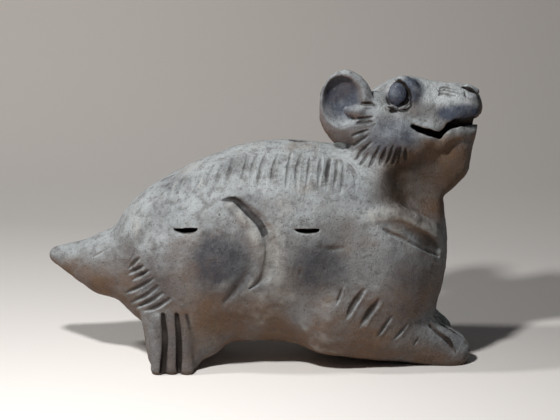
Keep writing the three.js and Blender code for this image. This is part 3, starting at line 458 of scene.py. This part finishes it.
def skin(field, lo, hi, cell):
    B = 6
    n = [int(math.ceil((hi[k] - lo[k]) / cell / B)) * B + 1 for k in range(3)]
    val = np.full(n, 9.0, F)
    # blocks near the surface, from a plain look at their middles
    nb = [(v - 1) // B for v in n]
    gi = np.stack(np.meshgrid(*[np.arange(v) for v in nb], indexing="ij"), -1).reshape(-1, 3)
    mid = (np.array(lo) + (gi + .5) * B * cell).astype(F)
    c = parallel(carved, mid)
    half = B * cell * .5 * math.sqrt(3)
    far = np.abs(c) > half * 1.15 + 1.6
    sign = np.where(c < 0, -9.0, 9.0).astype(F)
    act = np.zeros(nb, bool)
    act[tuple(gi[~far].T)] = True
    blocks = np.zeros(nb, F)
    blocks[tuple(gi.T)] = sign
    val[:-1, :-1, :-1] = np.repeat(np.repeat(np.repeat(blocks, B, 0), B, 1), B, 2)
    need = np.zeros(n, bool)
    a = np.argwhere(act) * B
    for dx in range(B + 1):
        for dy in range(B + 1):
            for dz in range(B + 1):
                need[a[:, 0] + dx, a[:, 1] + dy, a[:, 2] + dz] = True
    idx = np.argwhere(need)
    P = (np.array(lo) + idx * cell).astype(F)
    val[tuple(idx.T)] = parallel(field, P)
    s = val < 0
    mix = np.zeros([v - 1 for v in n], bool)
    first = s[:-1, :-1, :-1]
    for dx in (0, 1):
        for dy in (0, 1):
            for dz in (0, 1):
                mix |= s[dx:n[0] - 1 + dx, dy:n[1] - 1 + dy, dz:n[2] - 1 + dz] != first
    cells = np.argwhere(mix)
    cid = np.full(mix.shape, -1, np.int32)
    cid[tuple(cells.T)] = np.arange(len(cells))
    acc = np.zeros((len(cells), 3))
    cnt = np.zeros(len(cells))
    corner = {}
    for d in np.ndindex(2, 2, 2):
        corner[d] = val[cells[:, 0] + d[0], cells[:, 1] + d[1], cells[:, 2] + d[2]]
    for ax in range(3):
        o1, o2 = (ax + 1) % 3, (ax + 2) % 3
        for u in (0, 1):
            for v in (0, 1):
                d0 = [0, 0, 0]
                d0[o1], d0[o2] = u, v
                d1 = list(d0)
                d1[ax] = 1
                f0, f1 = corner[tuple(d0)], corner[tuple(d1)]
                m = (f0 < 0) != (f1 < 0)
                t = np.where(m, f0 / np.where(m, f0 - f1, 1), 0)
                p = np.array(d0, float)[None, :].repeat(len(cells), 0)
                p[:, ax] += t
                acc += p * m[:, None]
                cnt += m
    verts = np.array(lo) + (cells + acc / cnt[:, None]) * cell
    quads = []
    for ax in range(3):
        o1, o2 = (ax + 1) % 3, (ax + 2) % 3
        sl0, sl1 = [slice(1, -1)] * 3, [slice(1, -1)] * 3
        sl0[ax], sl1[ax] = slice(0, -1), slice(1, None)
        A, Bv = s[tuple(sl0)], s[tuple(sl1)]
        e = np.argwhere(A != Bv)
        inside = A[tuple(e.T)]
        base = e.copy()
        base[:, o1] += 1
        base[:, o2] += 1
        q = []
        for u, v in ((0, 0), (1, 0), (1, 1), (0, 1)):
            w = base.copy()
            w[:, o1] -= 1 - u
            w[:, o2] -= 1 - v
            q.append(cid[tuple(w.T)])
        q = np.stack(q, 1)
        q[~inside] = q[~inside][:, ::-1]
        quads.append(q)
    return verts, np.concatenate(quads)


def newton(P, field, times=1):
    e = F(.08)
    for _ in range(times):
        f = parallel(field, P)
        g = np.stack([parallel(field, P + np.eye(3, dtype=F)[k] * e) - f for k in range(3)], -1) / e
        s = np.clip(f, -CELL * .6, CELL * .6) / np.maximum((g * g).sum(-1), .3)
        P = (P - g * s[:, None]).astype(F)
    return P


def biggest(verts, quads):
    up = np.arange(len(verts))
    while True:                               # label spreading along faces
        m = up[quads].min(1)
        new = up.copy()
        for k in range(4):
            np.minimum.at(new, quads[:, k], m)
        new = new[new]
        if (new == up).all():
            break
        up = new
    lab, cnt = np.unique(up, return_counts=True)
    keep = up == lab[cnt.argmax()]
    ids = np.full(len(verts), -1)
    ids[keep] = np.arange(keep.sum())
    q = ids[quads]
    return verts[keep], q[(q >= 0).all(1)]


V, QD = skin(carved, (-84, -36, -4), (86, 36, 112), CELL)
V, QD = biggest(V, QD)
V = newton(V.astype(F), carved)
print("surface", len(V), "vertices", len(QD), "quads")

# uneven hand-smoothed skin
T1, T2, T3 = lattice(1), lattice(2), lattice(3)


def smooth_normals(v, q):
    a = v[q[:, 2]] - v[q[:, 0]]
    b = v[q[:, 3]] - v[q[:, 1]]
    n = np.cross(a, b)
    out = np.zeros_like(v, dtype=np.float64)
    for k in range(4):
        for c in range(3):
            out[:, c] += np.bincount(q[:, k], n[:, c], len(v))
    return out / (np.linalg.norm(out, axis=1, keepdims=True) + 1e-12)


N = smooth_normals(V, QD)
lump = noise(V, 11, T1) * .34 + noise(V, 5.0, T2) * .20 + noise(V, 2.2, T3) * .12 + noise(V, 1.1, T1) * .06
edge = np.clip((V[:, 2] - .2) / 3, 0, 1)
V = V + (N * (lump * edge)[:, None]).astype(F)

mesh = bpy.data.meshes.new("rat_clay")
mesh.vertices.add(len(V))
mesh.vertices.foreach_set("co", ((V + SHIFT) * .001).astype(F).ravel())
mesh.loops.add(len(QD) * 4)
mesh.loops.foreach_set("vertex_index", QD.astype(np.int32).ravel())
mesh.polygons.add(len(QD))
mesh.polygons.foreach_set("loop_start", np.arange(0, len(QD) * 4, 4, dtype=np.int32))
mesh.update(calc_edges=True)
rat = bpy.data.objects.new("rat_clay", mesh)
bpy.context.scene.collection.objects.link(rat)

# flat underfoot
import bmesh
bm = bmesh.new()
bm.from_mesh(mesh)
cut = bmesh.ops.bisect_plane(bm, geom=bm.verts[:] + bm.edges[:] + bm.faces[:], plane_co=(0, 0, 0.00002), plane_no=(0, 0, 1), clear_inner=True)
rim = [e for e in cut["geom_cut"] if isinstance(e, bmesh.types.BMEdge)]
bmesh.ops.holes_fill(bm, edges=rim, sides=0)
bm.to_mesh(mesh)
bm.free()

tris = sum(len(p.vertices) - 2 for p in mesh.polygons)
if tris > KEEP:
    mod = rat.modifiers.new("thin", "DECIMATE")
    mod.ratio = KEEP / tris
    deps = bpy.context.evaluated_depsgraph_get()
    small = bpy.data.meshes.new_from_object(rat.evaluated_get(deps))
    rat.modifiers.clear()
    rat.data = small
    mesh = small
for p in mesh.polygons:
    p.use_smooth = True
print("kept", sum(len(p.vertices) - 2 for p in mesh.polygons), "triangles")

# ---------------------------------------------------------------- masks on the vertices
co = np.empty(len(mesh.vertices) * 3, F)
mesh.vertices.foreach_get("co", co)
P = co.reshape(-1, 3) * 1000 - SHIFT.astype(F)
no = np.empty(len(mesh.vertices) * 3, F)
mesh.vertices.foreach_get("normal", no)
NO = no.reshape(-1, 3)


def attribute(name, values):
    a = mesh.attributes.new(name, "FLOAT", "POINT")
    a.data.foreach_set("value", np.clip(values, 0, 1).astype(F))


def patch(M, c, r, soft=.6):
    d = np.sqrt((((M - np.array(c)) / np.array(r)) ** 2).sum(-1))
    return 1 - step01(d, 1 - soft, 1 + soft * .5)


MM = mirrored(P)
QQ = to_head(P)
depth = -parallel(plain, P.astype(F))
near_head = (P[:, 0] > 20) & (P[:, 2] > 60)
# the chin and throat: painted shade there, and none of the head's blue
throat = np.maximum(patch(P, (58, -9, 68), (20, 23, 17), .4), patch(QQ, (9, -8, -4), (14, 12, 8), .5))
on_back = (P[:, 2] > 55) & (P[:, 0] < 42)
# painted shade in the cut strokes and gouges, fainter on the back; left out of the lower thigh crescent, the shoulder
# fold and the hollow under the eye
swept = np.maximum(patch(MM, (3.0, -28, 45), (6.5, 9, 17), .35), .7 * patch(MM, (54, -25, 53), (14, 9, 7), .4))
attribute("painted_groove_shade", step01(depth, .2, .95) * np.where(on_back, .35, 1.0) * (1 - swept) * (1 - patch(QQ, (-8.6, -17, 8.6), (9, 8, 8), .3)))
# painted highlight on the raised burrs beside the strokes and on the lit lower wall of the thigh crescent
burrs = ~near_head | ((QQ[:, 2] < 1.5) & (QQ[:, 0] > -19) & (QQ[:, 0] < -3))
attribute("painted_ridge_highlight", np.maximum(burrs * step01(-depth, .12, .55) * (1 - step01(-depth, 1.2, 2.0)), .7 * patch(MM, (3.5, -28, 44), (4.5, 9, 15), .4)))
# blue-black clouds from the smoke of the kiln: centre, reach, strength; the right flank first
CLOUDS = [
    ((-16, -27, 43), (13, 14, 13), 1.0), ((-6, -24, 62), (10, 10, 6), .45), ((19, -28, 40), (10, 10, 11), .85), ((53, -24, 37), (9, 12, 9), .5),
    ((45, -22, 24), (12, 12, 8), .35), ((-36, -20, 58), (9, 10, 8), .35), ((-34, -10, 68), (8, 8, 5), .4), ((-12, -14, 77), (7, 8, 5), .45),
    ((-38, -24, 36), (12, 10, 12), .45), ((-46, -14, 40), (7, 10, 8), .3), ((33, -20, 66), (10, 8, 7), .25), ((66, -14, 10), (9, 8, 6), .35),
    ((-34, -27, 12), (10, 9, 14), .5), ((-80, 8, 37.5), (6, 7, 6), .6)]
smoke = np.zeros(len(P))
for c, r, s in CLOUDS:
    smoke = np.maximum(smoke, s * patch(MM, c, r))
HEAD_CLOUDS = [((-7.3, -15, 18.1), (4.8, 5, 5.6), 1.1), ((-2.4, -12.5, 20.5), (5.0, 6, 6.5), .95), ((15, -9.8, 11.4), (9.5, 6.5, 3.8), 1.15),
               ((-27.6, -15.5, 16.6), (8.0, 5.5, 9.5), .8), ((-26, -15, 13), (14, 9, 16), .22), ((20, -5, 19), (3.5, 4, 4), .45), ((-18, -18, 0), (6, 5, 5), .35), ((-9, -18, 3), (10, 6, 8), .65)]
for c, r, s in HEAD_CLOUDS:
    smoke = np.maximum(smoke, s * patch(QQ, c, r, .4))
attribute("cool", near_head * (1 - throat))
smoke = smoke * (1 + .30 * noise(P, 6, T2)) + .10 * noise(P, 12, T3)
attribute("smoke", smoke)
# pale dust with painted top light on what faces up and on the snout's top; warm brown clay with painted shade on what
# faces down
up = NO[:, 2]
dust_and_top_light = step01(up + .25 * noise(P, 6, T1), -.10, .75)
dust_and_top_light = np.maximum(dust_and_top_light, patch(QQ, (6, -6, 18.5), (15, 10, 6), .4) * step01(up, -.3, .2))
attribute("dust_and_top_light", dust_and_top_light)
# pale clay with painted top light on the snout's upward faces
attribute("chalk_and_top_light", patch(QQ, (5, -6, 19), (16, 10, 6.5), .4) * step01(up, -.3, .25))
# warm brown clay with painted shade on what faces down and on the throat, and a brown patch low on the hind leg
brown_and_underside_shade = step01(-up + .30 * noise(P, 14, T2) + .15 * noise(P, 5, T3), -.25, .6)
attribute("brown_and_underside_shade", np.maximum(np.maximum(brown_and_underside_shade, throat), .7 * patch(MM, (-31, -27, 10), (11, 9, 15))))
# painted shadow of the head on the neck, and painted contact shade along the bottom edge
attribute("painted_shadow", np.maximum(np.maximum(patch(MM, (50, -21, 68), (13, 14, 9), .45), .65 * patch(MM, (61, -14, 69), (15, 16, 12), .5)), step01(.12 - P[:, 2] * .05, 0, .1) * .5))
# painted shade, near black, where no light or dust reaches: mouth, slits, nostrils, the gap round the eye, the face
# strokes, the ear's hollows, the toe gaps and the sharp top of the thigh crescent
QF = QQ.copy()
QF[:, 1] = 0
front = near_head * step01(QQ[:, 0], 9, 12) * (1 - step01(QQ[:, 2], 13, 15))
painted_recess_shade = step01(depth, 1.7, 3.0) * (1 - patch(QQ, (-8.6, -17, 8.6), (9, 8, 8), .3)) * (1 - .6 * front)
for pts in FACE_LINES:
    painted_recess_shade = np.maximum(painted_recess_shade, .6 * (1 - step01(chain(QQ, pts), -.12, .22)))
painted_recess_shade = np.maximum(painted_recess_shade, near_head * (1 - step01(chain(QF, MOUTH, .8), -.1, .35)) * (QQ[:, 0] > -4) * step01(depth, .1, .7) * (1 - .6 * front))
painted_recess_shade = np.maximum(painted_recess_shade, .75 * near_head * step01(depth, .45, .95) * ((QQ[:, 0] < -14.5) | ((QQ[:, 2] < 1) & (QQ[:, 0] < -3))))
for g in [NOSTRIL, *LID_GAPS]:
    painted_recess_shade = np.maximum(painted_recess_shade, near_head * (1 - step01(chain(QQ, g), .1, .4)))
for g in [pts for pts in TOE_LINES] + TOE_GAPS[4:]:
    painted_recess_shade = np.maximum(painted_recess_shade, .85 * (1 - step01(chain(MM, g), .0, .45)))
sharp = curve(np.array(CRESCENT)[:6], 2)
painted_recess_shade = np.maximum(painted_recess_shade, .8 * (1 - step01(chain(MM, np.hstack([sharp[:, :3], sharp[:, 4:5] * 1.25])), .0, .4)))
attribute("painted_recess_shade", painted_recess_shade)

# ---------------------------------------------------------------- material
mat = bpy.data.materials.new("smoked_clay")
mat.use_nodes = True
nt = mat.node_tree
nt.nodes.clear()
L = nt.links.new


def node(kind, **kw):
    n = nt.nodes.new(kind)
    for k, v in kw.items():
        if k.startswith("in_"):
            n.inputs[k[3:].replace("_", " ")].default_value = v
        else:
            setattr(n, k, v)
    return n


def mixc(a, b, fac, mode="MIX"):
    n = node("ShaderNodeMix", data_type="RGBA", blend_type=mode)
    for sock, v in ((n.inputs[6], a), (n.inputs[7], b)):
        if isinstance(v, tuple):
            sock.default_value = (*v, 1)
        else:
            L(v, sock)
    if isinstance(fac, (int, float)):
        n.inputs[0].default_value = fac
    else:
        L(fac, n.inputs[0])
    return n.outputs[2]


def ramp(src, a, b, lo=0.0, hi=1.0):
    n = node("ShaderNodeMapRange", interpolation_type="SMOOTHSTEP")
    n.inputs["From Min"].default_value = a
    n.inputs["From Max"].default_value = b
    n.inputs["To Min"].default_value = lo
    n.inputs["To Max"].default_value = hi
    L(src, n.inputs["Value"])
    return n.outputs["Result"]


def math_(op, a, b):
    n = node("ShaderNodeMath", operation=op)
    for s, v in zip(n.inputs, (a, b)):
        if isinstance(v, (int, float)):
            s.default_value = v
        else:
            L(v, s)
    return n.outputs[0]


def attr(name):
    return node("ShaderNodeAttribute", attribute_name=name).outputs["Fac"]


geo = node("ShaderNodeTexCoord")
obj = geo.outputs["Object"]


def tex(scale, detail=4.0, rough=.6):
    n = node("ShaderNodeTexNoise")
    n.inputs["Scale"].default_value = scale
    n.inputs["Detail"].default_value = detail
    n.inputs["Roughness"].default_value = rough
    L(obj, n.inputs["Vector"])
    return n.outputs["Fac"]


blotch = tex(70, 5, .6)
mottle = tex(300, 5, .65)
grain = tex(1300, 4, .7)
fine = tex(3200, 2, .6)

GREY, PALE, BROWN, BLUE = (.186, .187, .190), (.388, .420, .436), (.152, .090, .056), (.050, .053, .066)
# partly dust, partly painted top light: paler where the surface faces up
col = mixc(GREY, PALE, math_("MULTIPLY", attr("dust_and_top_light"), ramp(mottle, .3, .65, .5, 1.0)))
# brown clay, with painted shade where the surface faces down
col = mixc(col, BROWN, math_("MULTIPLY", attr("brown_and_underside_shade"), ramp(blotch, .3, .62, .45, 1.0)))
col = mixc(col, (.22, .165, .115), math_("MULTIPLY", ramp(blotch, .55, .72), .40))
# pale clay with painted top light on the snout's top
col = mixc(col, (.57, .61, .63), math_("MULTIPLY", attr("chalk_and_top_light"), ramp(mottle, .3, .6, .45, .8)))
smoky = math_("MULTIPLY", attr("smoke"), ramp(mottle, .25, .7, 1.1, .65))
col = mixc(col, mixc(BLUE, (.030, .045, .080), attr("cool")), smoky)
# pale grain, more of it where there is dust and painted top light
col = mixc(col, (.40, .40, .385), math_("MULTIPLY", ramp(grain, .57, .72), math_("ADD", math_("MULTIPLY", attr("dust_and_top_light"), .35), .28)))
col = mixc(col, (.085, .080, .078), math_("MULTIPLY", ramp(mottle, .50, .34), .38))
col = mixc(col, (.060, .052, .046), math_("MULTIPLY", ramp(grain, .45, .30), .80))
# painted highlight on the burrs and on the crescent's lit wall
col = mixc(col, (.40, .40, .38), math_("MULTIPLY", attr("painted_ridge_highlight"), ramp(mottle, .35, .6, .2, .7)))
# painted shade in the strokes and gouges
col = mixc(col, (.052, .042, .036), math_("MULTIPLY", attr("painted_groove_shade"), .78))
# painted shadow on the neck and painted contact shade at the bottom edge
col = mixc(col, (.040, .028, .020), math_("MULTIPLY", attr("painted_shadow"), .7))
# painted shade, near black, in the recesses
col = mixc(col, (.016, .012, .011), attr("painted_recess_shade"))

bsdf = node("ShaderNodeBsdfPrincipled")
L(col, bsdf.inputs["Base Color"])
L(ramp(grain, .3, .7, .72, .95), bsdf.inputs["Roughness"])
bsdf.inputs["Specular IOR Level"].default_value = .22


def bump(src, strength, distance, before=None):
    n = node("ShaderNodeBump")
    n.inputs["Strength"].default_value = strength
    n.inputs["Distance"].default_value = distance
    L(src, n.inputs["Height"])
    if before is not None:
        L(before, n.inputs["Normal"])
    return n.outputs[0]


b = bump(mottle, .8, .0009)
b = bump(grain, 1.0, .0007, b)
b = bump(fine, .5, .00012, b)
L(b, bsdf.inputs["Normal"])
out = node("ShaderNodeOutputMaterial")
L(bsdf.outputs[0], out.inputs["Surface"])
mesh.materials.append(mat)

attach(rat, "root")
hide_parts("rat_figurine")

# ---------------------------------------------------------------- floor, light, camera
def simple(name, colour, rough=.9):
    m = bpy.data.materials.new(name)
    m.use_nodes = True
    b = m.node_tree.nodes["Principled BSDF"]
    b.inputs["Base Color"].default_value = (*colour, 1)
    b.inputs["Roughness"].default_value = rough
    b.inputs["Specular IOR Level"].default_value = .1
    return m


# a sheet that lies flat and sweeps up far behind
W, D0, D1, R = 1.6, -.9, .35, .70
prof = [(D0, 0.0), (D1, 0.0)] + [(D1 + R * math.sin(a), R - R * math.cos(a)) for a in np.linspace(.08, math.pi / 2, 18)] + [(D1 + R, 1.6)]
vs = [(x, y, z) for y, z in prof for x in (-W, W)]
fs = [(2 * i, 2 * i + 1, 2 * i + 3, 2 * i + 2) for i in range(len(prof) - 1)]
fm = bpy.data.meshes.new("sweep")
fm.from_pydata(vs, [], fs)
for p in fm.polygons:
    p.use_smooth = True
floor = bpy.data.objects.new("sweep", fm)
bpy.context.scene.collection.objects.link(floor)
fm.materials.append(simple("paper", (.855, .835, .815)))


def area(name, at, to, size, watts, colour=(1, 1, 1)):
    l = bpy.data.lights.new(name, "AREA")
    l.shape = "DISK"
    l.size = size
    l.energy = watts
    l.color = colour
    o = bpy.data.objects.new(name, l)
    o.location = at
    o.rotation_euler = (Vector(to) - Vector(at)).to_track_quat("-Z", "Y").to_euler()
    bpy.context.scene.collection.objects.link(o)
    return o


area("key", (-.085, -.20, .28), (.0, .0, .04), .03, 1.0, (1.0, .975, .95))
area("side", (-.50, -.10, .50), (.02, 0, .04), .08, 1.9, (1.0, .98, .95))
area("back", (-.30, .30, .55), (-.15, .80, .55), .5, 1.5, (1, .91, .82))

world = bpy.data.worlds.new("world")
world.use_nodes = True
world.node_tree.nodes["Background"].inputs["Color"].default_value = (.80, .86, 1.0, 1)
world.node_tree.nodes["Background"].inputs["Strength"].default_value = .03
bpy.context.scene.world = world

cam = bpy.data.cameras.new("camera")
cam.sensor_width = 36
cam.lens = 36 * 1882 / 560
cam.clip_start = .01
co_ = bpy.data.objects.new("camera", cam)
EL, DIST = math.radians(11.5), .700
target = Vector((.0055 + .000951, -.000016, .0558))
co_.location = target + Vector((0, -math.cos(EL), math.sin(EL))) * DIST
co_.rotation_euler = (math.pi / 2 - EL, 0, 0)
bpy.context.scene.collection.objects.link(co_)
bpy.context.scene.camera = co_
bpy.context.scene.view_settings.view_transform = "Standard"
bpy.context.scene.view_settings.look = "None"
